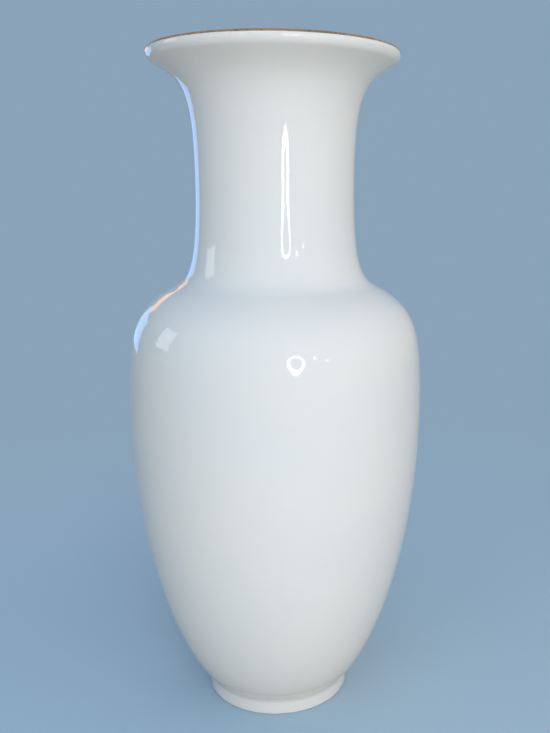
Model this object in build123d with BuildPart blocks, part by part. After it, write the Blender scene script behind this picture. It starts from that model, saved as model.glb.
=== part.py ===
from build123d import *
from build123d.topology import SkipClean
from math import atan2, cos, radians, sin, tan
import os

# A white porcelain baluster vase with a trumpet mouth. Its thrown sections are stuck together with slip,
# glazed inside and out, and the lip is gilded. The frame stands on the floor under the middle of the foot,
# with Z up. Lengths are in millimetres, slopes in degrees from the upright, positive where the wall leans
# outward on its way up.

# Heights, stacked from the floor to the crest of the lip
FOOT_BAND_HEIGHT = 7.0
CREASE_HEIGHT = 8.0
LOWER_BODY_HEIGHT = 174.5
SHOULDER_HEIGHT = 73.0
NECK_ROOT_HEIGHT = 59.0
MOUTH_HEIGHT = 78.5

# Outer diameters
FOOT_DIAMETER = 90.0
HEEL_DIAMETER = 99.0
BELLY_DIAMETER = 180.5
COLLAR_DIAMETER = 124.5
NECK_DIAMETER = 96.0
LIP_DIAMETER = 148.6

# Slopes of the outside where its curves meet
FOOT_SLOPE = -3.0
HEEL_SLOPE = 41.0
COLLAR_SLOPE = -62.0
LIP_SLOPE = 62.0

# Fullness: how far a curve keeps to the direction of its lower and upper end, as a share of its rise
CREASE_FULLNESS = (0.35, 0.50)
HEEL_FULLNESS = (0.11, 0.56)
SHOULDER_FULLNESS = (0.67, 0.37)
NECK_ROOT_FULLNESS = (0.17, 0.80)
FLARE_FULLNESS = (0.79, 0.29)
MOUTH_FULLNESS = (0.72, 0.34)

# Walls and floor
WALL = 5.0
FLOOR_DISH = 5.2
FLOOR_FLAT_DIAMETER = 44.0
FLOOR_FULLNESS = (2.7, 0.8)

# Foot
FOOT_RING_WIDTH = 10.0
RECESS_DEPTH = 6.5
RECESS_CORNER_RADIUS = 2.0
FOOT_EDGE_RADIUS = 0.8
BARE_MARGIN = 0.4

# Rolled lip
LIP_HEIGHT = 7.7
LIP_UNDER_RADIUS = 5.0
CREST_RADIUS = 2.4

# Glaze, slip and gilt
GLAZE = 0.4
SLIP = 0.5
LAP = 6.0
NECK_SEAM = 0.5
GILT = 0.15

# Angles of the crest's rounding that the gilt leaves bare, outside and inside
GILT_OUTER_ANGLE = 26.0
GILT_INNER_ANGLE = 9.0


# Plane geometry of the half section: X is the distance from the axis, Y the height

def direction(slope):
    """Unit direction of a line that rises with this slope."""
    return Vector(sin(radians(slope)), cos(radians(slope)))


def left_of(leg):
    """Unit direction to the left of a leg, which is into the wall on a rising curve."""
    return Vector(-leg.Y, leg.X).normalized()


def half_turn(leg, next_leg):
    """Half of the angle that one leg turns to the left into the next, in radians."""
    return atan2(leg.X * next_leg.Y - leg.Y * next_leg.X, leg.dot(next_leg)) / 2


def curve(start, start_slope, end, end_slope, fullness):
    """Control points of the curve that rises from start to end."""
    rise = end.Y - start.Y
    leave = direction(start_slope) * rise * fullness[0]
    arrive = direction(end_slope) * rise * fullness[1]
    return start, start + leave, end - arrive, end


def inset(points, start_depth, end_depth):
    """Control points of a curve moved to its left, by its own depth at each end."""
    start, first, second, end = points
    start_leg = first - start
    middle_leg = second - first
    end_leg = end - second
    start_cut = start_depth * tan(half_turn(start_leg, middle_leg))
    end_cut = end_depth * tan(half_turn(middle_leg, end_leg))
    new_start = start + left_of(start_leg) * start_depth
    new_end = end + left_of(end_leg) * end_depth
    new_first = new_start + start_leg - start_leg.normalized() * start_cut
    new_second = new_end - end_leg + end_leg.normalized() * end_cut
    return new_start, new_first, new_second, new_end


# Heights of the places where the curves meet
heel_height = FOOT_BAND_HEIGHT + CREASE_HEIGHT
belly_height = heel_height + LOWER_BODY_HEIGHT
collar_height = belly_height + SHOULDER_HEIGHT
neck_height = collar_height + NECK_ROOT_HEIGHT
height = neck_height + MOUTH_HEIGHT
crest_height = height - GILT

# Centres of the two roundings of the lip, and the direction through its wall
lip_under_centre = Vector(LIP_DIAMETER / 2 - LIP_UNDER_RADIUS, crest_height - LIP_HEIGHT + LIP_UNDER_RADIUS)
crest_centre = Vector(LIP_DIAMETER / 2 - CREST_RADIUS, crest_height - CREST_RADIUS)
into_lip = left_of(direction(LIP_SLOPE))

# Points on the outside where the curves meet
foot_edge = Vector(FOOT_DIAMETER / 2, 0)
band_top = Vector(foot_edge.X + FOOT_BAND_HEIGHT * tan(radians(FOOT_SLOPE)), FOOT_BAND_HEIGHT)
heel = Vector(HEEL_DIAMETER / 2, heel_height)
belly = Vector(BELLY_DIAMETER / 2, belly_height)
collar = Vector(COLLAR_DIAMETER / 2, collar_height)
waist = Vector(NECK_DIAMETER / 2, neck_height)
under_lip = lip_under_centre - into_lip * LIP_UNDER_RADIUS

# Curves of the outside, from the crease to the lip
crease_curve = curve(band_top, FOOT_SLOPE, heel, HEEL_SLOPE, CREASE_FULLNESS)
heel_curve = curve(heel, HEEL_SLOPE, belly, 0, HEEL_FULLNESS)
shoulder_curve = curve(belly, 0, collar, COLLAR_SLOPE, SHOULDER_FULLNESS)
neck_root_curve = curve(collar, COLLAR_SLOPE, waist, 0, NECK_ROOT_FULLNESS)
flare_curve = curve(waist, 0, under_lip, LIP_SLOPE, FLARE_FULLNESS)

# Curve of the inside of the mouth, which thickens to the lip
waist_inside = waist + left_of(direction(0)) * WALL
crest_inside = crest_centre + into_lip * CREST_RADIUS
mouth_curve = curve(waist_inside, 0, crest_inside, LIP_SLOPE, MOUTH_FULLNESS)

# Curve of the dished floor, out to where the inside of the wall starts
wall_start = inset(heel_curve, WALL, WALL)[0]
floor_edge = Vector(FLOOR_FLAT_DIAMETER / 2, wall_start.Y - FLOOR_DISH)
floor_curve = curve(floor_edge, 90, wall_start, HEEL_SLOPE, FLOOR_FULLNESS)

# Bare foot: radius of the recess in the porcelain, top of the foot ring, and where the glaze stops
recess_radius = FOOT_DIAMETER / 2 - FOOT_RING_WIDTH
recess_bare_radius = recess_radius + GLAZE
foot_seat_height = FOOT_BAND_HEIGHT + CREASE_HEIGHT / 2
glaze_line = FOOT_EDGE_RADIUS + BARE_MARGIN

# Angle of the crest's rounding that the gilt covers, from its face to the inside of the mouth
gilt_span = 180 - LIP_SLOPE - GILT_OUTER_ANGLE - GILT_INNER_ANGLE

# A length that reaches past the vase from any seam
reach = height + LIP_DIAMETER


def outside(skin):
    """All that the outer surface holds, mouth and all, less a skin of this thickness."""
    with SkipClean(), BuildLine() as outline:
        band = band_top + left_of(direction(FOOT_SLOPE)) * skin
        Polyline((0, 0), (foot_edge.X - skin, 0), band)
        for points in (crease_curve, heel_curve, shoulder_curve, neck_root_curve, flare_curve):
            Bezier(*inset(points, skin, skin))
        under = CenterArc(lip_under_centre, LIP_UNDER_RADIUS - skin, -LIP_SLOPE, LIP_SLOPE)
        crest = CenterArc(crest_centre, CREST_RADIUS - skin, 0, 90)
        Line(under @ 1, crest @ 0)
        Polyline(crest @ 1, (crest_centre.X, reach), (0, reach), (0, 0))
    return Face(outline.wire())


def inside(skin):
    """The hollow of the vase up to the crest of its lip, widened by a skin of this thickness."""
    floor = inset(floor_curve, -skin, -skin)
    with SkipClean(), BuildLine() as outline:
        Line((0, floor[0].Y), floor[0])
        Bezier(*floor)
        for points in (heel_curve, shoulder_curve, neck_root_curve):
            Bezier(*inset(points, WALL - skin, WALL - skin))
        Bezier(*inset(mouth_curve, -skin, -skin))
        crest = CenterArc(crest_centre, CREST_RADIUS - skin, 90, 90 - LIP_SLOPE)
        Polyline(crest @ 0, (crest_centre.X, reach), (0, reach), (0, floor[0].Y))
    return Face(outline.wire())


def seam_side(points, share, side):
    """The side above (1) or below (-1) a stepped seam that crosses the wall at this share of a curve."""
    line = Bezier(*points, mode=Mode.PRIVATE)
    rising = line % share
    inward = left_of(rising)
    level = side * SLIP / 2
    step = (WALL - side * SLIP) / 2
    corners = (
        (-reach, level),
        (step, level),
        (step, level + LAP),
        (reach, level + LAP),
        (reach, side * reach),
        (-reach, side * reach),
    )
    with BuildLine() as outline:
        Polyline(*[line @ share + inward * depth + rising * rise for depth, rise in corners], close=True)
    return Face(outline.wire())


def box(low, high):
    """An upright box of the half section, between two corners."""
    with BuildLine() as outline:
        Polyline(low, (high[0], low[1]), high, (low[0], high[1]), close=True)
    return Face(outline.wire())


def foot_space(slip):
    """The space under the body that the foot ring takes, with slip of this thickness on top and within."""
    return box((recess_bare_radius - slip, 0), (reach, foot_seat_height + slip))


def half_section(whole, within=(), without=()):
    """A region cut to some regions and freed of others, each of its curves still an edge of its own."""
    with SkipClean():
        for region in within:
            whole = whole & region
        for region in without:
            whole = whole - region
    return whole


# Half section of all the porcelain, under the glaze and above the recess
recess = box((0, 0), (recess_bare_radius, RECESS_DEPTH + GLAZE))
porcelain = half_section(outside(GLAZE), without=[inside(GLAZE), recess])

# The two sides of the seams at the belly and at the root of the neck
below_belly_seam = seam_side(shoulder_curve, 0, -1)
above_belly_seam = seam_side(shoulder_curve, 0, 1)
below_neck_seam = seam_side(neck_root_curve, NECK_SEAM, -1)
above_neck_seam = seam_side(neck_root_curve, NECK_SEAM, 1)

os.makedirs("parts", exist_ok=True)

# Foot ring, bare underneath and rounded at its two lower edges
with BuildPart() as foot_ring:
    half = half_section(porcelain, within=[foot_space(0)])
    revolve(Plane.XZ * half, axis=Axis.Z, clean=False)
    fillet(foot_ring.edges().group_by(Axis.Z)[0], FOOT_EDGE_RADIUS)
foot_ring.part.label = "foot_ring"
export_step(foot_ring.part, "parts/foot_ring.step")

# Slip between the foot ring and the body
with BuildPart() as foot_luting:
    half = half_section(porcelain, within=[foot_space(SLIP)], without=[foot_space(0)])
    revolve(Plane.XZ * half, axis=Axis.Z, clean=False)
foot_luting.part.label = "foot_luting"
export_step(foot_luting.part, "parts/foot_luting.step")

# Lower half of the body, whose floor seats in the foot ring
with BuildPart() as lower_body:
    half = half_section(porcelain, within=[below_belly_seam], without=[foot_space(SLIP)])
    revolve(Plane.XZ * half, axis=Axis.Z, clean=False)
lower_body.part.label = "lower_body"
export_step(lower_body.part, "parts/lower_body.step")

# Slip in the belly seam
with BuildPart() as belly_luting:
    half = half_section(porcelain, without=[below_belly_seam, above_belly_seam])
    revolve(Plane.XZ * half, axis=Axis.Z, clean=False)
belly_luting.part.label = "belly_luting"
export_step(belly_luting.part, "parts/belly_luting.step")

# Upper half of the body, with the shoulder
with BuildPart() as upper_body:
    half = half_section(porcelain, within=[above_belly_seam, below_neck_seam])
    revolve(Plane.XZ * half, axis=Axis.Z, clean=False)
upper_body.part.label = "upper_body"
export_step(upper_body.part, "parts/upper_body.step")

# Slip in the seam at the root of the neck
with BuildPart() as neck_luting:
    half = half_section(porcelain, without=[below_neck_seam, above_neck_seam])
    revolve(Plane.XZ * half, axis=Axis.Z, clean=False)
neck_luting.part.label = "neck_luting"
export_step(neck_luting.part, "parts/neck_luting.step")

# Neck with the trumpet mouth and the rolled lip
with BuildPart() as neck:
    half = half_section(porcelain, within=[above_neck_seam])
    revolve(Plane.XZ * half, axis=Axis.Z, clean=False)
neck.part.label = "neck"
export_step(neck.part, "parts/neck.step")

# Glaze outside, from just above the bare edge of the foot to the crest of the lip
with BuildPart() as outer_glaze:
    bare_foot = box((0, 0), (reach, glaze_line))
    half = half_section(outside(0), without=[outside(GLAZE), bare_foot])
    revolve(Plane.XZ * half, axis=Axis.Z, clean=False)
outer_glaze.part.label = "outer_glaze"
export_step(outer_glaze.part, "parts/outer_glaze.step")

# Glaze inside, from the crest of the lip to the floor
with BuildPart() as inner_glaze:
    half = half_section(inside(GLAZE), without=[inside(0)])
    revolve(Plane.XZ * half, axis=Axis.Z, clean=False)
inner_glaze.part.label = "inner_glaze"
export_step(inner_glaze.part, "parts/inner_glaze.step")

# Glaze in the recess under the floor, pooled round its corner
with BuildPart() as base_glaze:
    with BuildSketch(Plane.XZ) as base_section:
        with Locations((0, glaze_line)):
            Rectangle(recess_bare_radius, RECESS_DEPTH + GLAZE - glaze_line, align=Align.MIN)
            Rectangle(recess_radius, RECESS_DEPTH - glaze_line, align=Align.MIN, mode=Mode.SUBTRACT)
        recess_corner = base_section.vertices().sort_by_distance((recess_radius, RECESS_DEPTH))[0]
        fillet(recess_corner, RECESS_CORNER_RADIUS)
    revolve(axis=Axis.Z)
base_glaze.part.label = "base_glaze"
export_step(base_glaze.part, "parts/base_glaze.step")

# Gilt line over the crest of the lip
with BuildPart() as gilt_rim:
    with BuildSketch(Plane.XZ):
        with BuildLine():
            face = CenterArc(crest_centre, CREST_RADIUS + GILT, GILT_OUTER_ANGLE, gilt_span)
            back = CenterArc(crest_centre, CREST_RADIUS, GILT_OUTER_ANGLE, gilt_span)
            Line(face @ 0, back @ 0)
            Line(face @ 1, back @ 1)
        make_face()
    revolve(axis=Axis.Z)
gilt_rim.part.label = "gilt_rim"
export_step(gilt_rim.part, "parts/gilt_rim.step")
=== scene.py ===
import math

import bpy
from mathutils import Matrix, Vector


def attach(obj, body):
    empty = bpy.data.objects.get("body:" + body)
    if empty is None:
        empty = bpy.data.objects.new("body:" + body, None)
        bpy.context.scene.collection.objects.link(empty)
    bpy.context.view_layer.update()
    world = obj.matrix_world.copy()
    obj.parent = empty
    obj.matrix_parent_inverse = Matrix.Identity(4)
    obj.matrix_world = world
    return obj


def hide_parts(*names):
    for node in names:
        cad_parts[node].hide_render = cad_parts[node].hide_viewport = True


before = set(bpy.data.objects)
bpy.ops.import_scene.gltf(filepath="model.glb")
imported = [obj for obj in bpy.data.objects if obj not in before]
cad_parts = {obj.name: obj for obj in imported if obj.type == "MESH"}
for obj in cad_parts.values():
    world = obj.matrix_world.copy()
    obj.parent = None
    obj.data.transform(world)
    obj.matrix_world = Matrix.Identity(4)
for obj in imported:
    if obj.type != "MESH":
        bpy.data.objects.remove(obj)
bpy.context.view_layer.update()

bl_info = {
    "name": "Porcelain vase",
    "version": (1, 0, 0),
    "blender": (4, 5, 0),
    "location": "3D View > Sidebar > Vase",
    "description": "Turns the glaze, gilt and foot of a white porcelain vase around its packed solids",
    "category": "Object",
}

MM = 0.001
BODY = "root"
ORIGIN = (0.0, 0.0, 0.0)
UP = (0.0, 0.0, 1.0)

# Turned pieces: steps round the axis, the distance within which two points are one,
# and the largest angle between faces that are shaded as one surface
TURN_STEPS = 256
FINE_TURN_STEPS = 512
MERGE = 0.002 * MM
SMOOTH_ANGLE = math.radians(38)

# Steps along the curves of a glaze coat, on its open face and on the face that lies on the porcelain:
# outside from the glaze line to the crest, inside from the axis to the crest
OUTSIDE_FACE_STEPS = (6, 16, 52, 44, 44, 44, 12, 3, 14)
OUTSIDE_SEAT_STEPS = (2, 8, 18, 16, 16, 16, 6, 2, 8)
INSIDE_FACE_STEPS = (4, 10, 44, 30, 28, 36, 8)
INSIDE_SEAT_STEPS = (2, 6, 16, 14, 14, 16, 6)

# Steps along each half of the gilt line, and along the thin edge of a coat
GILT_FACE_STEPS = 12
GILT_SEAT_STEPS = 8
EDGE_STEPS = 2

# Throwing rings: the seed of their random offsets, and how far they keep from the axis and the crest
RING_SEED = 7
RING_AXIS_MARGIN = 20 * MM
RING_CREST_MARGIN = 30 * MM

# Waver of the glaze: the width of its waves, and how many finer layers lie on them
WAVER_WIDTH = 28 * MM
WAVER_LAYERS = 1

# Share of a grain's radius that has its full colour
GRAIN_CORE = 0.4

# Places of the two colours and of their mix among the sockets of a Mix node, where names repeat
MIX_FIRST = 6
MIX_SECOND = 7
MIX_RESULT = 2

# The photograph's frame in pixels, and the camera's sensor in millimetres, which spans its longer side
PHOTO_WIDTH = 550
PHOTO_HEIGHT = 733
SENSOR = 36.0
CLIP_START = 10 * MM

FLOOR_CORNERS = 96

# Lamps that the glaze mirrors, in metres: a cool window at the back left, a pale one at the left,
# a warm lamp and two small ones. Where "lights" is False, a lamp shows only as a reflection.
SOFTBOX_AIM = (0.0, 0.0, 0.26)
SOFTBOXES = (
    {"name": "window_back_left", "spot": (-0.95, 1.25, 0.34), "width": 0.55, "height": 0.50,
     "tint": (0.27, 0.50, 1.0), "glow": 2.0, "lights": True},
    {"name": "window_left", "spot": (-1.25, 0.16, 0.62), "width": 0.36, "height": 0.46,
     "tint": (0.86, 0.95, 1.0), "glow": 2.2, "lights": False},
    {"name": "warm_lamp", "spot": (-0.62, 1.10, 0.60), "width": 0.34, "height": 0.14,
     "tint": (1.0, 0.38, 0.03), "glow": 1.9, "lights": True},
    {"name": "small_lamp", "spot": (0.45, -0.82, 0.47), "width": 0.04, "height": 0.04,
     "tint": (1.0, 1.0, 1.0), "glow": 12.0, "lights": False},
    {"name": "far_small_lamp", "spot": (0.59, -0.76, 0.42), "width": 0.03, "height": 0.03,
     "tint": (1.0, 1.0, 1.0), "glow": 8.0, "lights": False},
)

# Soft light of the room, by the side that it comes from: the front, the upper left and the back.
# It starts at a cosine to that side and grows evenly towards it, from its least to its most.
ROOM_LIGHTS = (
    {"side": (0.36, -0.93, 0.08), "start": 0.0, "least": 0.03, "most": 1.37,
     "tint": (0.965, 0.975, 1.0)},
    {"side": (-0.76, -0.17, 0.57), "start": 0.0, "least": 0.0, "most": 0.48,
     "tint": (0.47, 0.74, 1.0)},
    {"side": (0.35, 0.93, 0.12), "start": 0.45, "least": 0.0, "most": 1.2,
     "tint": (1.0, 0.98, 0.96)},
)

# Where the side wall is seen, and the cosines between which the backdrop turns into it
SIDE_WALL_SIDE = (0.98, 0.17, 0.0)
SIDE_WALL_START = 0.45
SIDE_WALL_END = 0.90


# Settings

def length(name, description, millimetres):
    """A length that a user can change."""
    return bpy.props.FloatProperty(
        name=name, description=description, default=millimetres * MM, unit="LENGTH", precision=5)


def angle(name, description, degrees):
    """An angle that a user can change."""
    return bpy.props.FloatProperty(
        name=name, description=description, default=math.radians(degrees), subtype="ANGLE")


def number(name, description, value):
    """A plain number that a user can change."""
    return bpy.props.FloatProperty(name=name, description=description, default=value)


def fullness(name, lower, upper):
    """How far a curve keeps to the direction of its two ends, as a share of its rise."""
    return bpy.props.FloatVectorProperty(
        name=name, description="How far the curve keeps to the direction of its lower and upper end",
        size=2, default=(lower, upper))


def colour(name, description, value):
    """A colour that a user can change."""
    return bpy.props.FloatVectorProperty(
        name=name, description=description, subtype="COLOR", size=3, min=0.0, max=1.0, default=value)


def place(name, description, value):
    """A place that a user can change, in metres."""
    return bpy.props.FloatVectorProperty(
        name=name, description=description, subtype="TRANSLATION", unit="LENGTH", size=3, default=value)


class VaseSizes(bpy.types.PropertyGroup):
    """Sizes of the vase's solids, and how far the glaze wavers from them."""

    foot_band_height: length("Foot band height", "Height of the foot band", 7.0)
    crease_height: length("Crease height", "Height of the crease over the foot band", 8.0)
    lower_body_height: length("Lower body height", "From the heel to the belly", 174.5)
    shoulder_height: length("Shoulder height", "From the belly to the collar", 73.0)
    neck_root_height: length("Neck root height", "From the collar to the waist of the neck", 59.0)
    mouth_height: length("Mouth height", "From the waist of the neck to the crest of the lip", 78.5)
    foot_diameter: length("Foot diameter", "Outer diameter of the foot", 90.0)
    heel_diameter: length("Heel diameter", "Outer diameter over the crease", 99.0)
    belly_diameter: length("Belly diameter", "Largest diameter of the body", 180.5)
    collar_diameter: length("Collar diameter", "Diameter where the shoulder turns into the neck", 124.5)
    neck_diameter: length("Neck diameter", "Diameter of the waist of the neck", 96.0)
    lip_diameter: length("Lip diameter", "Outer diameter of the lip", 148.6)
    foot_slope: angle("Foot slope", "Lean of the foot band", -3.0)
    heel_slope: angle("Heel slope", "Lean of the wall over the crease", 41.0)
    collar_slope: angle("Collar slope", "Lean of the wall at the collar", -62.0)
    lip_slope: angle("Lip slope", "Lean of the wall under the lip", 62.0)
    crease_fullness: fullness("Crease fullness", 0.35, 0.50)
    heel_fullness: fullness("Heel fullness", 0.11, 0.56)
    shoulder_fullness: fullness("Shoulder fullness", 0.67, 0.37)
    neck_root_fullness: fullness("Neck root fullness", 0.17, 0.80)
    flare_fullness: fullness("Flare fullness", 0.79, 0.29)
    mouth_fullness: fullness("Mouth fullness", 0.72, 0.34)
    floor_fullness: fullness("Floor fullness", 2.7, 0.8)
    wall: length("Wall", "Thickness of the wall with its glaze", 5.0)
    floor_dish: length("Floor dish", "Depth of the dish in the floor", 5.2)
    floor_flat_diameter: length("Floor flat", "Diameter of the flat middle of the floor", 44.0)
    foot_ring_width: length("Foot ring width", "From the foot's outer edge to its recess", 10.0)
    foot_edge_radius: length("Foot edge radius", "Rounding of the foot's lower edges", 0.8)
    recess_depth: length("Recess depth", "Depth of the recess under the floor", 6.5)
    recess_corner_radius: length("Recess corner", "Rounding of the recess's corner", 2.0)
    bare_margin: length("Bare margin", "Bare porcelain over the rounding of the foot", 0.4)
    lip_height: length("Lip height", "Height of the rolled lip", 7.7)
    lip_under_radius: length("Lip under radius", "Rounding under the lip", 5.0)
    crest_radius: length("Crest radius", "Rounding of the crest of the lip", 2.4)
    glaze: length("Glaze", "Thickness of the glaze", 0.4)
    gilt: length("Gilt", "Thickness of the gilt line", 0.15)
    gilt_outer_angle: angle("Gilt outer angle", "Bare angle of the crest, outside the gilt", 26.0)
    gilt_inner_angle: angle("Gilt inner angle", "Bare angle of the crest, inside the gilt", 9.0)
    waver: length("Waver", "How far the glaze wavers on the turned form", 0.05)
    throwing: length("Throwing rings", "How far the inside wavers from ring to ring", 0.12)


class VaseFinish(bpy.types.PropertyGroup):
    """Colours of the vase."""

    glaze_cool: colour("Cool glaze", "White of the glaze where it is thick", (0.755, 0.785, 0.805))
    glaze_warm: colour("Warm glaze", "White of the glaze where it is thin", (0.775, 0.793, 0.795))
    # Pooled glaze in the crease, darker than the glaze: partly pooling, partly painted shade
    glaze_pool_and_crease_shade: colour("Pooled glaze", "Glaze that has run into the crease", (0.600, 0.620, 0.590))
    speck: colour("Speck", "Iron specks in the glaze", (0.300, 0.240, 0.180))
    gilt_bright: colour("Bright gilt", "Burnished gilt", (0.700, 0.360, 0.160))
    gilt_dark: colour("Dark gilt", "Gilt that has dulled", (0.420, 0.230, 0.110))
    biscuit: colour("Biscuit", "Bare fired porcelain", (0.850, 0.840, 0.815))
    biscuit_stain: colour("Biscuit stain", "Dirt in the bare porcelain", (0.380, 0.330, 0.270))
    slip: colour("Slip", "Fired slip in the seams", (0.740, 0.705, 0.640))


class VaseStage(bpy.types.PropertyGroup):
    """Camera, floor, backdrop and ring lamp."""

    camera_place: place("Camera place", "Where the camera stands", (0.0, -0.52025, 0.31889))
    camera_pitch: angle("Camera pitch", "How far the camera looks down", 10.744)
    camera_yaw: angle("Camera yaw", "How far the camera looks to the left", -3.306)
    camera_roll: angle("Camera roll", "How far the camera leans", -0.198)
    focal_pixels: number("Focal length", "Focal length in pixels of the photograph", 845.26)
    axis_x: number("Optical axis X", "Pixel of the photograph on the optical axis, across", 323.98)
    axis_y: number("Optical axis Y", "Pixel of the photograph on the optical axis, down", 353.18)
    backdrop: colour("Backdrop", "Colour of the backdrop and the far floor", (0.254, 0.366, 0.479))
    side_wall: colour("Side wall", "Colour of the room at the right", (0.560, 0.570, 0.560))
    near_floor: colour("Near floor", "Colour of the floor round the vase", (0.420, 0.575, 0.710))
    # Painted light: the floor throws back a lighter colour in front of the vase and a darker one further
    # off
    painted_light_floor: colour("Lit floor", "Colour that the floor in front throws back", (0.950, 0.900, 0.800))
    painted_dim_floor: colour("Dim floor", "Colour that the other floor throws back", (0.420, 0.350, 0.250))
    painted_light_place: place("Lit floor place", "Middle of the lit part of the floor", (0.05, -0.58, 0.0))
    painted_light_radius: length("Lit floor radius", "Distance at which the floor has gone dim", 620.0)
    floor_radius: length("Floor radius", "Radius of the floor", 4000.0)
    floor_fade_start: length("Fade start", "Distance at which the floor starts to fade", 180.0)
    floor_fade_end: length("Fade end", "Distance at which the floor is the backdrop", 700.0)
    ring_lamp_place: place("Ring lamp place", "Middle of the ring lamp", (0.225, -0.863, 0.400))
    ring_lamp_aim: place("Ring lamp aim", "Point that the ring lamp faces", (0.45, 0.0, 0.27))
    ring_lamp_radius: length("Ring lamp radius", "Radius of the ring lamp's tube line", 98.0)
    ring_lamp_drop: length("Ring lamp drop", "How far the ring lamp's foot is drawn out", 22.0)
    ring_lamp_tube: length("Ring lamp tube", "Radius of the ring lamp's tube", 13.0)
    ring_lamp_swell: number("Ring lamp swell", "How many times thicker the tube is at its foot", 1.7)
    ring_lamp_taper: number("Ring lamp taper", "Share of its roundness that the foot keeps", 0.55)
    ring_lamp_tint: colour("Ring lamp tint", "Colour of the ring lamp", (1.0, 0.99, 0.97))
    ring_lamp_glow: number("Ring lamp glow", "How brightly the ring lamp glows", 14.0)


# Sections of the vase: X is the distance from the axis, Z the height

def at(radius, height):
    """A point of the section."""
    return Vector((radius, 0.0, height))


def direction(slope):
    """Unit direction of a line that rises with this slope."""
    return at(math.sin(slope), math.cos(slope))


def left_of(leg):
    """Unit direction to the left of a leg, which is into the wall on a rising curve."""
    return at(-leg.z, leg.x).normalized()


def half_turn(leg, next_leg):
    """Half of the angle that one leg turns to the left into the next."""
    return math.atan2(leg.x * next_leg.z - leg.z * next_leg.x, leg.dot(next_leg)) / 2


def curve(start, start_slope, end, end_slope, ends):
    """Control points of the curve that rises from start to end, with the fullness of its ends."""
    rise = end.z - start.z
    return (start, start + direction(start_slope) * rise * ends[0],
            end - direction(end_slope) * rise * ends[1], end)


def inset(points, depth):
    """Control points of a curve moved to its left."""
    start, first, second, end = points
    start_leg, middle_leg, end_leg = first - start, second - first, end - second
    start_cut = depth * math.tan(half_turn(start_leg, middle_leg))
    end_cut = depth * math.tan(half_turn(middle_leg, end_leg))
    new_start = start + left_of(start_leg) * depth
    new_end = end + left_of(end_leg) * depth
    return (new_start, new_start + start_leg - start_leg.normalized() * start_cut,
            new_end - end_leg + end_leg.normalized() * end_cut, new_end)


def line(start, end):
    """Control points of a straight line."""
    return start, start.lerp(end, 1 / 3), start.lerp(end, 2 / 3), end


def arc(centre, radius, start, end):
    """Control points of an arc of up to a quarter turn, its angles from the level."""
    handle = radius * 4 / 3 * math.tan((end - start) / 4)
    first = at(math.cos(start), math.sin(start))
    last = at(math.cos(end), math.sin(end))
    return (centre + first * radius, centre + first * radius + left_of(first) * handle,
            centre + last * radius - left_of(last) * handle, centre + last * radius)


def start_of(curves):
    """First point of a row of curves with their steps."""
    return curves[0][0][0]


def end_of(curves):
    """Last point of a row of curves with their steps."""
    return curves[-1][0][3]


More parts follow.
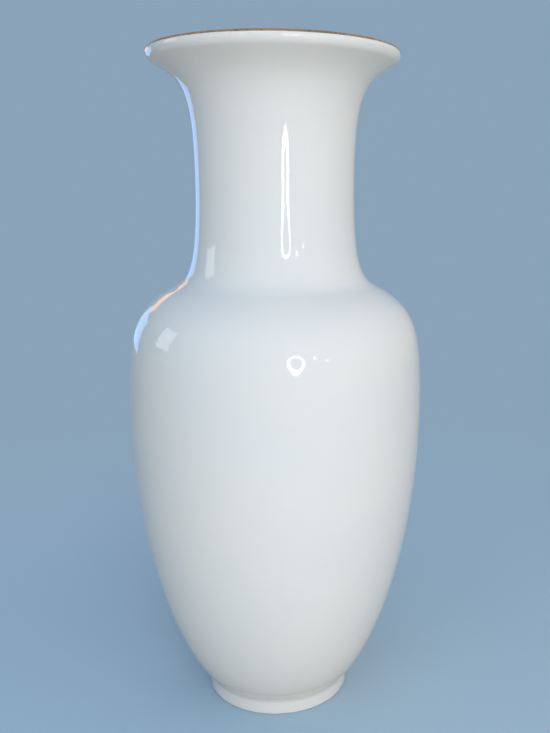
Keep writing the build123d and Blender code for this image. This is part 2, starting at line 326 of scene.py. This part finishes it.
class VaseForm:
    """The curves of the vase, from its sizes."""

    def __init__(self, sizes):
        self.sizes = sizes
        band = sizes.foot_band_height
        heel_height = band + sizes.crease_height
        belly_height = heel_height + sizes.lower_body_height
        collar_height = belly_height + sizes.shoulder_height
        neck_height = collar_height + sizes.neck_root_height
        crest_height = neck_height + sizes.mouth_height - sizes.gilt
        lip = sizes.lip_diameter / 2
        under_height = crest_height - sizes.lip_height + sizes.lip_under_radius
        into_lip = left_of(direction(sizes.lip_slope))
        self.under_centre = at(lip - sizes.lip_under_radius, under_height)
        self.crest_centre = at(lip - sizes.crest_radius, crest_height - sizes.crest_radius)
        self.foot_edge = at(sizes.foot_diameter / 2, 0.0)
        band_top = self.band_side(band, 0.0)
        heel = at(sizes.heel_diameter / 2, heel_height)
        belly = at(sizes.belly_diameter / 2, belly_height)
        collar = at(sizes.collar_diameter / 2, collar_height)
        waist = at(sizes.neck_diameter / 2, neck_height)
        waist_inside = waist - at(sizes.wall, 0.0)
        under_lip = self.under_centre - into_lip * sizes.lip_under_radius
        crest_inside = self.crest_centre + into_lip * sizes.crest_radius
        self.crease = curve(band_top, sizes.foot_slope, heel, sizes.heel_slope, sizes.crease_fullness)
        self.heel = curve(heel, sizes.heel_slope, belly, 0.0, sizes.heel_fullness)
        self.shoulder = curve(belly, 0.0, collar, sizes.collar_slope, sizes.shoulder_fullness)
        self.neck_root = curve(collar, sizes.collar_slope, waist, 0.0, sizes.neck_root_fullness)
        self.flare = curve(waist, 0.0, under_lip, sizes.lip_slope, sizes.flare_fullness)
        self.mouth = curve(waist_inside, 0.0, crest_inside, sizes.lip_slope, sizes.mouth_fullness)
        wall_start = inset(self.heel, sizes.wall)[0]
        floor_edge = at(sizes.floor_flat_diameter / 2, wall_start.z - sizes.floor_dish)
        self.floor = curve(floor_edge, math.pi / 2, wall_start, sizes.heel_slope, sizes.floor_fullness)
        self.glaze_line = sizes.foot_edge_radius + sizes.bare_margin
        self.recess_radius = sizes.foot_diameter / 2 - sizes.foot_ring_width
        self.crease_middle = band + sizes.crease_height / 2

    def band_side(self, height, skin):
        """Point of the foot band at a height, under a skin."""
        slope = self.sizes.foot_slope
        return self.foot_edge + at(height * math.tan(slope), height) + left_of(direction(slope)) * skin

    def outside(self, skin, steps):
        """Curves of the outside from the glaze line to the crest, under a skin, each with its steps."""
        sizes = self.sizes
        crease = inset(self.crease, skin)
        band = line(self.band_side(self.glaze_line, skin), crease[0])
        under = arc(self.under_centre, sizes.lip_under_radius - skin, -sizes.lip_slope, 0.0)
        crest = arc(self.crest_centre, sizes.crest_radius - skin, 0.0, math.pi / 2)
        walls = [inset(wall, skin) for wall in (self.heel, self.shoulder, self.neck_root, self.flare)]
        return list(zip([band, crease, *walls, under, line(under[3], crest[0]), crest], steps))

    def inside(self, skin, steps):
        """Curves of the inside from the axis to the crest, widened by a skin, each with its steps."""
        sizes = self.sizes
        floor = inset(self.floor, -skin)
        middle = line(at(0.0, floor[0].z), floor[0])
        walls = [inset(wall, sizes.wall - skin) for wall in (self.heel, self.shoulder, self.neck_root)]
        mouth = inset(self.mouth, -skin)
        crest = arc(self.crest_centre, sizes.crest_radius - skin, math.pi - sizes.lip_slope, math.pi / 2)
        return list(zip([middle, floor, *walls, mouth, crest], steps))


# Modelling

def turned(name, curves, steps, waver=0.0, rings=0.0):
    """A piece turned on the wheel: a closed section, drawn with curves, spun round the axis."""
    bpy.ops.object.select_all(action="DESELECT")
    bpy.ops.curve.primitive_bezier_curve_add(location=ORIGIN)
    piece = bpy.context.object
    piece.name = piece.data.name = name
    piece.data.splines.clear()
    for points, count in curves:
        spline = piece.data.splines.new("BEZIER")
        spline.bezier_points.add(1)
        spline.resolution_u = count
        first, last = spline.bezier_points
        for knot in (first, last):
            knot.handle_left_type = knot.handle_right_type = "FREE"
        first.co, first.handle_left, first.handle_right = points[0], points[0], points[1]
        last.co, last.handle_left, last.handle_right = points[3], points[2], points[3]
    bpy.ops.object.convert(target="MESH")
    bpy.ops.object.mode_set(mode="EDIT")
    bpy.ops.mesh.select_all(action="SELECT")
    bpy.ops.mesh.remove_doubles(threshold=MERGE)
    if rings:
        select_free_wall(piece)
        bpy.ops.transform.vertex_random(offset=rings, uniform=1.0, normal=0.0, seed=RING_SEED)
        bpy.ops.mesh.select_all(action="SELECT")
    bpy.ops.mesh.spin(steps=steps, angle=2 * math.pi, center=ORIGIN, axis=UP)
    bpy.ops.mesh.select_all(action="SELECT")
    bpy.ops.mesh.remove_doubles(threshold=MERGE)
    bpy.ops.mesh.normals_make_consistent(inside=False)
    bpy.ops.object.mode_set(mode="OBJECT")
    if waver:
        settle(piece, waver)
    bpy.ops.object.shade_smooth_by_angle(angle=SMOOTH_ANGLE)
    return piece


def select_free_wall(piece):
    """Selects the points of a section that stand clear of the axis and of the crest."""
    bpy.ops.mesh.select_all(action="DESELECT")
    bpy.ops.object.mode_set(mode="OBJECT")
    top = max(vertex.co.z for vertex in piece.data.vertices)
    for vertex in piece.data.vertices:
        vertex.select = vertex.co.x > RING_AXIS_MARGIN and vertex.co.z < top - RING_CREST_MARGIN
    bpy.ops.object.mode_set(mode="EDIT")


def settle(piece, depth):
    """Lets a glaze surface sink unevenly into its own thickness, as glaze does in the kiln."""
    clouds = bpy.data.textures.new(piece.name + "_waver", "CLOUDS")
    clouds.noise_scale = WAVER_WIDTH
    clouds.noise_depth = WAVER_LAYERS
    bpy.ops.object.modifier_add(type="DISPLACE")
    waver = piece.modifiers[-1]
    waver.texture = clouds
    waver.texture_coords = "LOCAL"
    waver.mid_level = 1.0
    waver.strength = depth
    bpy.ops.object.modifier_apply(modifier=waver.name)


def finished(piece, node, material):
    """Gives a piece its finish and its place on the body, and hides the node that it stands for."""
    piece.data.materials.clear()
    piece.data.materials.append(material)
    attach(piece, BODY)
    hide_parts(node)


# Finishes

class Nodes:
    """The nodes of a material or of the world, and the links between them."""

    def __init__(self, owner):
        owner.use_nodes = True
        self.tree = owner.node_tree
        self.tree.nodes.clear()

    def add(self, kind, *sources, **settings):
        """A node with its settings, and with its first inputs fed in order."""
        node = self.tree.nodes.new(kind)
        for key, value in settings.items():
            setattr(node, key, value)
        for source, target in zip(sources, node.inputs):
            self.join(source, target)
        return node

    def join(self, source, target):
        """A link, a colour or another constant."""
        if isinstance(source, bpy.types.NodeSocket):
            self.tree.links.new(source, target)
        elif target.type == "RGBA":
            target.default_value = (*source, 1.0)
        else:
            target.default_value = source

    def maths(self, operation, *values):
        """One step of arithmetic."""
        return self.add("ShaderNodeMath", *values, operation=operation).outputs[0]

    def measure(self, operation, first, second):
        """A number worked out from two vectors."""
        return self.add("ShaderNodeVectorMath", first, second, operation=operation).outputs["Value"]

    def spread(self, value, low, high, to_low=0.0, to_high=1.0, smooth=True):
        """A value's range mapped to another and clamped, smoothly or evenly."""
        ranges = (value, low, high, to_low, to_high)
        kind = "SMOOTHSTEP" if smooth else "LINEAR"
        node = self.add("ShaderNodeMapRange", *ranges, interpolation_type=kind, clamp=True)
        return node.outputs["Result"]

    def mix(self, factor, first, second):
        """A mix of two colours."""
        node = self.add("ShaderNodeMix", factor, data_type="RGBA")
        self.join(first, node.inputs[MIX_FIRST])
        self.join(second, node.inputs[MIX_SECOND])
        return node.outputs[MIX_RESULT]

    def seen(self):
        """1 for rays from the camera, from gloss and through glass, 0 for the light on matt surfaces."""
        rays = self.add("ShaderNodeLightPath").outputs
        mirrored = self.maths("MAXIMUM", rays["Is Glossy Ray"], rays["Is Transmission Ray"])
        return self.maths("MAXIMUM", rays["Is Camera Ray"], mirrored)

    def end(self, kind, shader):
        """The output node, fed with the shader."""
        self.join(shader, self.add(kind).inputs["Surface"])


class Finish(Nodes):
    """A material drawn with nodes that read the piece's own place."""

    def __init__(self, name):
        self.material = bpy.data.materials.new(name)
        super().__init__(self.material)
        self.shader = self.add("ShaderNodeBsdfPrincipled")
        self.end("ShaderNodeOutputMaterial", self.shader.outputs["BSDF"])
        self.place = self.add("ShaderNodeTexCoord").outputs["Object"]

    def reach(self):
        """Distance from the axis."""
        flat = self.add("ShaderNodeVectorMath", self.place, (1.0, 1.0, 0.0), operation="MULTIPLY")
        return self.measure("DISTANCE", flat.outputs["Vector"], ORIGIN)

    def height(self):
        """Height over the floor."""
        return self.add("ShaderNodeSeparateXYZ", self.place).outputs["Z"]

    def noise(self, scale, detail=2.0, roughness=0.5):
        """Soft noise, with features of about 1 / scale metres."""
        node = self.add("ShaderNodeTexNoise", self.place)
        self.join(scale, node.inputs["Scale"])
        self.join(detail, node.inputs["Detail"])
        self.join(roughness, node.inputs["Roughness"])
        return node.outputs["Fac"]

    def grains(self, scale, size, density, show=1.0):
        """Round grains in a share of the cells, from 0 at their edge to what they show in the middle."""
        cells = self.add("ShaderNodeTexVoronoi", self.place)
        self.join(scale, cells.inputs["Scale"])
        draw = self.add("ShaderNodeSeparateColor", cells.outputs["Color"]).outputs["Red"]
        chosen = self.maths("LESS_THAN", draw, density)
        spots = self.spread(cells.outputs["Distance"], low=size, high=size * GRAIN_CORE, to_high=show)
        return self.maths("MULTIPLY", spots, chosen)

    def relief(self, height, distance, strength, under=None):
        """A bump, on top of another where there is one."""
        node = self.add("ShaderNodeBump")
        self.join(height, node.inputs["Height"])
        self.join(distance, node.inputs["Distance"])
        self.join(strength, node.inputs["Strength"])
        if under is not None:
            self.join(under, node.inputs["Normal"])
        return node.outputs["Normal"]

    def set(self, **values):
        """Values of the shader, with underscores for the spaces in their names."""
        for key, value in values.items():
            self.join(value, self.shader.inputs[key.replace("_", " ")])
        return self.material


def white_glaze(name, colours, pool_and_shade_height=None):
    """Clear glaze over white porcelain: cool where thick, warm where thin, with specks and pinholes.

    It is a little darker round the height at which it has pooled, if it has: pooled glaze and painted
    shade in the crease.
    """
    finish = Finish(name)
    cloud = finish.spread(finish.noise(scale=14.0, detail=3.0, roughness=0.55), low=0.35, high=0.65)
    tone = finish.mix(cloud, colours.glaze_cool, colours.glaze_warm)
    if pool_and_shade_height is not None:
        # Darker round the pool height: pooled glaze and painted shade in the crease
        away = finish.maths("ABSOLUTE", finish.maths("SUBTRACT", finish.height(), pool_and_shade_height))
        pool_and_shade = finish.spread(away, low=4.0 * MM, high=0.5 * MM, to_high=0.06)
        tone = finish.mix(pool_and_shade, tone, colours.glaze_pool_and_crease_shade)
    specks = finish.grains(scale=70.0, size=0.022, density=0.05, show=0.45)
    tone = finish.mix(specks, tone, colours.speck)
    patches = finish.noise(scale=55.0, detail=4.0, roughness=0.6)
    gloss = finish.spread(patches, low=0.3, high=0.75, to_low=0.03, to_high=0.06)
    peel = finish.relief(finish.noise(scale=420.0), distance=0.02 * MM, strength=0.35)
    holes = finish.grains(scale=130.0, size=0.03, density=0.06)
    pitted = finish.relief(holes, distance=-0.05 * MM, strength=0.8, under=peel)
    return finish.set(Base_Color=tone, Roughness=gloss, Normal=pitted, IOR=1.5)


def worn_gilt(name, colours):
    """Burnished gilding: bright, dulled in patches, rubbed through in spots and finely grained."""
    finish = Finish(name)
    dull = finish.spread(finish.noise(scale=70.0, detail=5.0, roughness=0.65), low=0.38, high=0.66)
    tone = finish.mix(dull, colours.gilt_bright, colours.gilt_dark)
    spots = finish.noise(scale=260.0, detail=4.0, roughness=0.7)
    rubbed = finish.spread(spots, low=0.63, high=0.72, to_high=0.6)
    tone = finish.mix(rubbed, tone, colours.glaze_warm)
    patches = finish.noise(scale=180.0, detail=4.0, roughness=0.6)
    gloss = finish.spread(patches, low=0.3, high=0.7, to_low=0.2, to_high=0.42)
    grained = finish.relief(finish.noise(scale=900.0, detail=3.0), distance=0.02 * MM, strength=0.4)
    return finish.set(Base_Color=tone, Roughness=gloss, Metallic=0.6, Normal=grained)


def bare_biscuit(name, clay, colours, turning):
    """Bare fired porcelain: matt, gritty, turned in fine rings and a little stained."""
    finish = Finish(name)
    dirt = finish.noise(scale=45.0, detail=5.0, roughness=0.65)
    stain = finish.spread(dirt, low=0.5, high=0.72, to_high=0.45)
    tone = finish.mix(stain, clay, colours.biscuit_stain)
    grit = finish.grains(scale=420.0, size=0.3, density=0.12, show=0.35)
    tone = finish.mix(grit, tone, colours.speck)
    rings = finish.maths("SINE", finish.maths("MULTIPLY", finish.reach(), 2 * math.pi / turning))
    ridged = finish.relief(rings, distance=0.03 * MM, strength=0.6)
    sand = finish.noise(scale=1500.0, detail=4.0, roughness=0.7)
    grained = finish.relief(sand, distance=0.06 * MM, strength=0.7, under=ridged)
    patches = finish.noise(scale=120.0, detail=3.0)
    matt = finish.spread(patches, low=0.3, high=0.7, to_low=0.68, to_high=0.9)
    return finish.set(Base_Color=tone, Roughness=matt, Normal=grained)


def floor_finish(name, stage):
    """Matt, with a painted pool of light in front of the vase in the colour that it throws back; further
    out, where it is seen, it is the backdrop.
    """
    material = bpy.data.materials.new(name)
    nodes = Nodes(material)
    spot = nodes.add("ShaderNodeTexCoord").outputs["Object"]
    seen = nodes.seen()
    # Painted pool of light in the colour that the floor throws back: light near a spot in front, dim
    # further off
    away = nodes.measure("DISTANCE", spot, stage.painted_light_place)
    painted_dimming = nodes.spread(away, low=stage.painted_light_radius / 2, high=stage.painted_light_radius)
    painted_bounce = nodes.mix(painted_dimming, stage.painted_light_floor, stage.painted_dim_floor)
    matt = nodes.add("ShaderNodeBsdfDiffuse", nodes.mix(seen, painted_bounce, stage.near_floor))
    glow = nodes.add("ShaderNodeEmission", stage.backdrop)
    reach = nodes.measure("DISTANCE", spot, ORIGIN)
    fade = nodes.spread(reach, low=stage.floor_fade_start, high=stage.floor_fade_end)
    faded = nodes.maths("MULTIPLY", fade, seen)
    blend = nodes.add("ShaderNodeMixShader", faded, matt.outputs[0], glow.outputs[0])
    nodes.end("ShaderNodeOutputMaterial", blend.outputs[0])
    return material


def glow_finish(name, tint, strength):
    """A plain glowing surface."""
    material = bpy.data.materials.new(name)
    nodes = Nodes(material)
    glow = nodes.add("ShaderNodeEmission", tint, strength)
    nodes.end("ShaderNodeOutputMaterial", glow.outputs[0])
    return material


# Stage

def facing(spot, aim):
    """The turn of a lamp that stands at a spot and faces a point."""
    return (Vector(aim) - Vector(spot)).to_track_quat("-Z", "Y").to_euler()


def add_floor(stage):
    """A pale floor that keeps the shadow near the vase and fades into the backdrop further out."""
    bpy.ops.object.select_all(action="DESELECT")
    bpy.ops.mesh.primitive_circle_add(
        vertices=FLOOR_CORNERS, radius=stage.floor_radius, fill_type="NGON")
    floor = bpy.context.object
    floor.name = "floor"
    floor.data.materials.append(floor_finish("pale_floor", stage))


def light_room(scene, stage):
    """Soft light from several sides, behind a plain backdrop with a pale side wall."""
    scene.world = bpy.data.worlds.new("studio")
    nodes = Nodes(scene.world)
    ways = nodes.add("ShaderNodeTexCoord").outputs["Generated"]
    light, *others = [soft_light(nodes, ways, **one) for one in ROOM_LIGHTS]
    for other in others:
        light = nodes.add("ShaderNodeAddShader", light, other).outputs[0]
    turn = nodes.spread(turned_to(nodes, ways, SIDE_WALL_SIDE), low=SIDE_WALL_START, high=SIDE_WALL_END)
    plain = nodes.add("ShaderNodeBackground", nodes.mix(turn, stage.backdrop, stage.side_wall))
    blend = nodes.add("ShaderNodeMixShader", nodes.seen(), light, plain.outputs[0])
    nodes.end("ShaderNodeOutputWorld", blend.outputs[0])


def turned_to(nodes, ways, side):
    """Cosine of the angle between a direction and a side of the room."""
    return nodes.measure("DOT_PRODUCT", ways, Vector(side).normalized())


def soft_light(nodes, ways, side, start, least, most, tint):
    """Light that comes softly from one side of the room."""
    cosine = turned_to(nodes, ways, side)
    level = nodes.spread(cosine, low=start, high=1.0, to_low=least, to_high=most, smooth=False)
    return nodes.add("ShaderNodeBackground", tint, level).outputs[0]


def add_ring_lamp(stage):
    """The ring lamp beside the camera, drawn out at its foot, which the neck and the shoulder mirror."""
    bpy.ops.object.select_all(action="DESELECT")
    bpy.ops.curve.primitive_bezier_circle_add(radius=stage.ring_lamp_radius)
    ring = bpy.context.object
    ring.name = "ring_lamp"
    ring.data.bevel_depth = stage.ring_lamp_tube
    foot = min(ring.data.splines[0].bezier_points, key=lambda knot: knot.co.y)
    foot.handle_left_type = foot.handle_right_type = "FREE"
    foot.co.y -= stage.ring_lamp_drop
    foot.handle_left.x *= stage.ring_lamp_taper
    foot.handle_right.x *= stage.ring_lamp_taper
    foot.radius = stage.ring_lamp_swell
    bpy.ops.object.convert(target="MESH")
    ring.location = stage.ring_lamp_place
    ring.rotation_euler = facing(stage.ring_lamp_place, stage.ring_lamp_aim)
    ring.data.materials.append(glow_finish("ring_lamp_glow", stage.ring_lamp_tint, stage.ring_lamp_glow))
    ring.visible_camera = False
    ring.visible_shadow = False


def add_softbox(name, spot, width, height, tint, glow, lights):
    """A rectangular lamp of even glow, mirrored in the gloss, that may light matt surfaces too."""
    bpy.ops.object.select_all(action="DESELECT")
    bpy.ops.object.light_add(type="AREA", location=spot)
    lamp = bpy.context.object
    lamp.name = lamp.data.name = name
    lamp.data.shape = "RECTANGLE"
    lamp.data.size = width
    lamp.data.size_y = height
    lamp.data.color = tint
    # The power grows with the area, so that lamps of any size have the glow that they are given
    lamp.data.energy = glow * math.pi * width * height
    lamp.rotation_euler = facing(spot, SOFTBOX_AIM)
    lamp.visible_camera = False
    lamp.visible_diffuse = lights


def add_camera(scene, stage):
    """The camera at the photograph's place, with its frame off the optical axis."""
    bpy.ops.object.select_all(action="DESELECT")
    bpy.ops.object.camera_add(location=stage.camera_place)
    camera = bpy.context.object
    camera.name = "photo_camera"
    turn = (Matrix.Rotation(stage.camera_yaw, 4, "Z")
            @ Matrix.Rotation(math.pi / 2 - stage.camera_pitch, 4, "X")
            @ Matrix.Rotation(-stage.camera_roll, 4, "Z"))
    camera.rotation_euler = turn.to_euler()
    camera.data.sensor_width = SENSOR
    camera.data.lens = stage.focal_pixels / PHOTO_HEIGHT * SENSOR
    camera.data.shift_x = (PHOTO_WIDTH / 2 - stage.axis_x) / PHOTO_HEIGHT
    camera.data.shift_y = (stage.axis_y - PHOTO_HEIGHT / 2) / PHOTO_HEIGHT
    camera.data.clip_start = CLIP_START
    scene.camera = camera


# Operators

class VASE_OT_porcelain(bpy.types.Operator):
    """Give the porcelain and the slip under the glaze their finish"""

    bl_idname = "vase.porcelain"
    bl_label = "Porcelain and slip"

    def execute(self, context):
        colours = context.scene.vase_finish
        biscuit = bare_biscuit("body_biscuit", colours.biscuit, colours, turning=2.4 * MM)
        slip = bare_biscuit("fired_slip", colours.slip, colours, turning=0.8 * MM)
        finishes = {
            "lower_body": biscuit, "upper_body": biscuit, "neck": biscuit,
            "foot_luting": slip, "belly_luting": slip, "neck_luting": slip,
        }
        for node, material in finishes.items():
            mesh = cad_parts[node].data
            mesh.materials.clear()
            mesh.materials.append(material)
        return {"FINISHED"}


class VASE_OT_foot(bpy.types.Operator):
    """Turn the bare foot ring that the vase stands on"""

    bl_idname = "vase.foot"
    bl_label = "Foot ring"

    def execute(self, context):
        sizes = context.scene.vase_sizes
        form = VaseForm(sizes)
        bore = form.recess_radius + sizes.glaze
        seat = form.crease_middle
        bend = sizes.foot_edge_radius
        lean = sizes.foot_slope
        set_back = sizes.glaze + bend / math.tan((math.pi / 2 + lean) / 2)
        outer = arc(at(form.foot_edge.x - set_back, bend), bend, -math.pi / 2, -lean)
        inner = arc(at(bore + bend, bend), bend, -math.pi, -math.pi / 2)
        crease = inset(form.crease, sizes.glaze)
        top_radius = min(crease[0].x, crease[1].x, crease[2].x) - sizes.glaze
        # Each curve of the section with its steps
        outline = [
            (inner, 10),
            (line(inner[3], outer[0]), 24),
            (outer, 10),
            (line(outer[3], crease[0]), 8),
            (line(crease[0], at(top_radius, seat)), 4),
            (line(at(top_radius, seat), at(bore, seat)), 4),
            (line(at(bore, seat), inner[0]), 8),
        ]
        piece = turned("bare_foot", outline, TURN_STEPS)
        colours = context.scene.vase_finish
        material = bare_biscuit("foot_biscuit", colours.biscuit, colours, turning=1.1 * MM)
        finished(piece, "foot_ring", material)
        return {"FINISHED"}


class VASE_OT_base_glaze(bpy.types.Operator):
    """Turn the glaze in the recess under the floor"""

    bl_idname = "vase.base_glaze"
    bl_label = "Base glaze"

    def execute(self, context):
        sizes = context.scene.vase_sizes
        form = VaseForm(sizes)
        edge = form.recess_radius
        roof = sizes.recess_depth
        low = form.glaze_line
        outer_edge = edge + sizes.glaze
        top = roof + sizes.glaze
        bend = sizes.recess_corner_radius
        corner = arc(at(edge - bend, roof - bend), bend, 0.0, math.pi / 2)
        # Each curve of the section with its steps
        outline = [
            (line(at(0.0, top), at(outer_edge, top)), 8),
            (line(at(outer_edge, top), at(outer_edge, low)), 3),
            (line(at(outer_edge, low), at(edge, low)), EDGE_STEPS),
            (line(at(edge, low), corner[0]), 3),
            (corner, 14),
            (line(corner[3], at(0.0, roof)), 14),
        ]
        piece = turned("base_glaze_coat", outline, TURN_STEPS)
        material = white_glaze("base_white_glaze", context.scene.vase_finish)
        finished(piece, "base_glaze", material)
        return {"FINISHED"}


class VASE_OT_inner_glaze(bpy.types.Operator):
    """Turn the glaze inside the vase, from the crest of the lip to the floor"""

    bl_idname = "vase.inner_glaze"
    bl_label = "Inner glaze"

    def execute(self, context):
        sizes = context.scene.vase_sizes
        form = VaseForm(sizes)
        face = form.inside(0.0, INSIDE_FACE_STEPS)
        seat = form.inside(sizes.glaze, INSIDE_SEAT_STEPS)
        crest = line(end_of(face), end_of(seat))
        outline = face + seat + [(crest, EDGE_STEPS)]
        piece = turned("glaze_lining", outline, TURN_STEPS, rings=sizes.throwing)
        material = white_glaze("inner_white_glaze", context.scene.vase_finish)
        finished(piece, "inner_glaze", material)
        return {"FINISHED"}


class VASE_OT_glaze_coat(bpy.types.Operator):
    """Turn the glaze outside the vase, from the foot to the crest of the lip"""

    bl_idname = "vase.glaze_coat"
    bl_label = "Outer glaze"

    def execute(self, context):
        sizes = context.scene.vase_sizes
        form = VaseForm(sizes)
        face = form.outside(0.0, OUTSIDE_FACE_STEPS)
        seat = form.outside(sizes.glaze, OUTSIDE_SEAT_STEPS)
        hem = line(start_of(seat), start_of(face))
        crest = line(end_of(face), end_of(seat))
        outline = face + seat + [(hem, EDGE_STEPS), (crest, EDGE_STEPS)]
        piece = turned("glaze_coat", outline, TURN_STEPS, waver=sizes.waver)
        colours = context.scene.vase_finish
        # Pooled glaze and painted shade round the middle of the crease
        material = white_glaze("outer_white_glaze", colours, pool_and_shade_height=form.crease_middle)
        finished(piece, "outer_glaze", material)
        return {"FINISHED"}


class VASE_OT_gilt_line(bpy.types.Operator):
    """Lay the gilt line on the crest of the lip"""

    bl_idname = "vase.gilt_line"
    bl_label = "Gilt line"

    def execute(self, context):
        sizes = context.scene.vase_sizes
        centre = VaseForm(sizes).crest_centre
        start = sizes.gilt_outer_angle
        end = math.pi - sizes.lip_slope - sizes.gilt_inner_angle
        middle = (start + end) / 2
        halves = ((start, middle), (middle, end))
        top = sizes.crest_radius + sizes.gilt
        face = [(arc(centre, top, *half), GILT_FACE_STEPS) for half in halves]
        seat = [(arc(centre, sizes.crest_radius, *half), GILT_SEAT_STEPS) for half in halves]
        outer_edge = line(start_of(face), start_of(seat))
        inner_edge = line(end_of(face), end_of(seat))
        outline = face + seat + [(outer_edge, EDGE_STEPS), (inner_edge, EDGE_STEPS)]
        piece = turned("gilt_line", outline, FINE_TURN_STEPS)
        finished(piece, "gilt_rim", worn_gilt("worn_gilt", context.scene.vase_finish))
        return {"FINISHED"}


class VASE_OT_stage(bpy.types.Operator):
    """Set the floor, the backdrop, the lamps and the camera"""

    bl_idname = "vase.stage"
    bl_label = "Stage"

    def execute(self, context):
        stage = context.scene.vase_stage
        add_floor(stage)
        light_room(context.scene, stage)
        add_ring_lamp(stage)
        for lamp in SOFTBOXES:
            add_softbox(**lamp)
        add_camera(context.scene, stage)
        context.scene.view_settings.view_transform = "Standard"
        return {"FINISHED"}


class VASE_PT_panel(bpy.types.Panel):
    """The pieces of the vase, each with its button"""

    bl_idname = "VASE_PT_panel"
    bl_label = "Porcelain vase"
    bl_space_type = "VIEW_3D"
    bl_region_type = "UI"
    bl_category = "Vase"

    def draw(self, context):
        for operator in OPERATORS:
            self.layout.operator(operator.bl_idname)


GROUPS = {"vase_sizes": VaseSizes, "vase_finish": VaseFinish, "vase_stage": VaseStage}
OPERATORS = (
    VASE_OT_porcelain,
    VASE_OT_foot,
    VASE_OT_base_glaze,
    VASE_OT_inner_glaze,
    VASE_OT_glaze_coat,
    VASE_OT_gilt_line,
    VASE_OT_stage,
)


def register():
    for name, group in GROUPS.items():
        bpy.utils.register_class(group)
        setattr(bpy.types.Scene, name, bpy.props.PointerProperty(type=group))
    for operator in OPERATORS:
        bpy.utils.register_class(operator)
    bpy.utils.register_class(VASE_PT_panel)


def unregister():
    bpy.utils.unregister_class(VASE_PT_panel)
    for operator in reversed(OPERATORS):
        bpy.utils.unregister_class(operator)
    for name, group in GROUPS.items():
        delattr(bpy.types.Scene, name)
        bpy.utils.unregister_class(group)


def main():
    """Registers the add-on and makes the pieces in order."""
    register()
    bpy.ops.vase.porcelain()
    bpy.ops.vase.foot()
    bpy.ops.vase.base_glaze()
    bpy.ops.vase.inner_glaze()
    bpy.ops.vase.glaze_coat()
    bpy.ops.vase.gilt_line()
    bpy.ops.vase.stage()


if __name__ == "__main__":
    main()
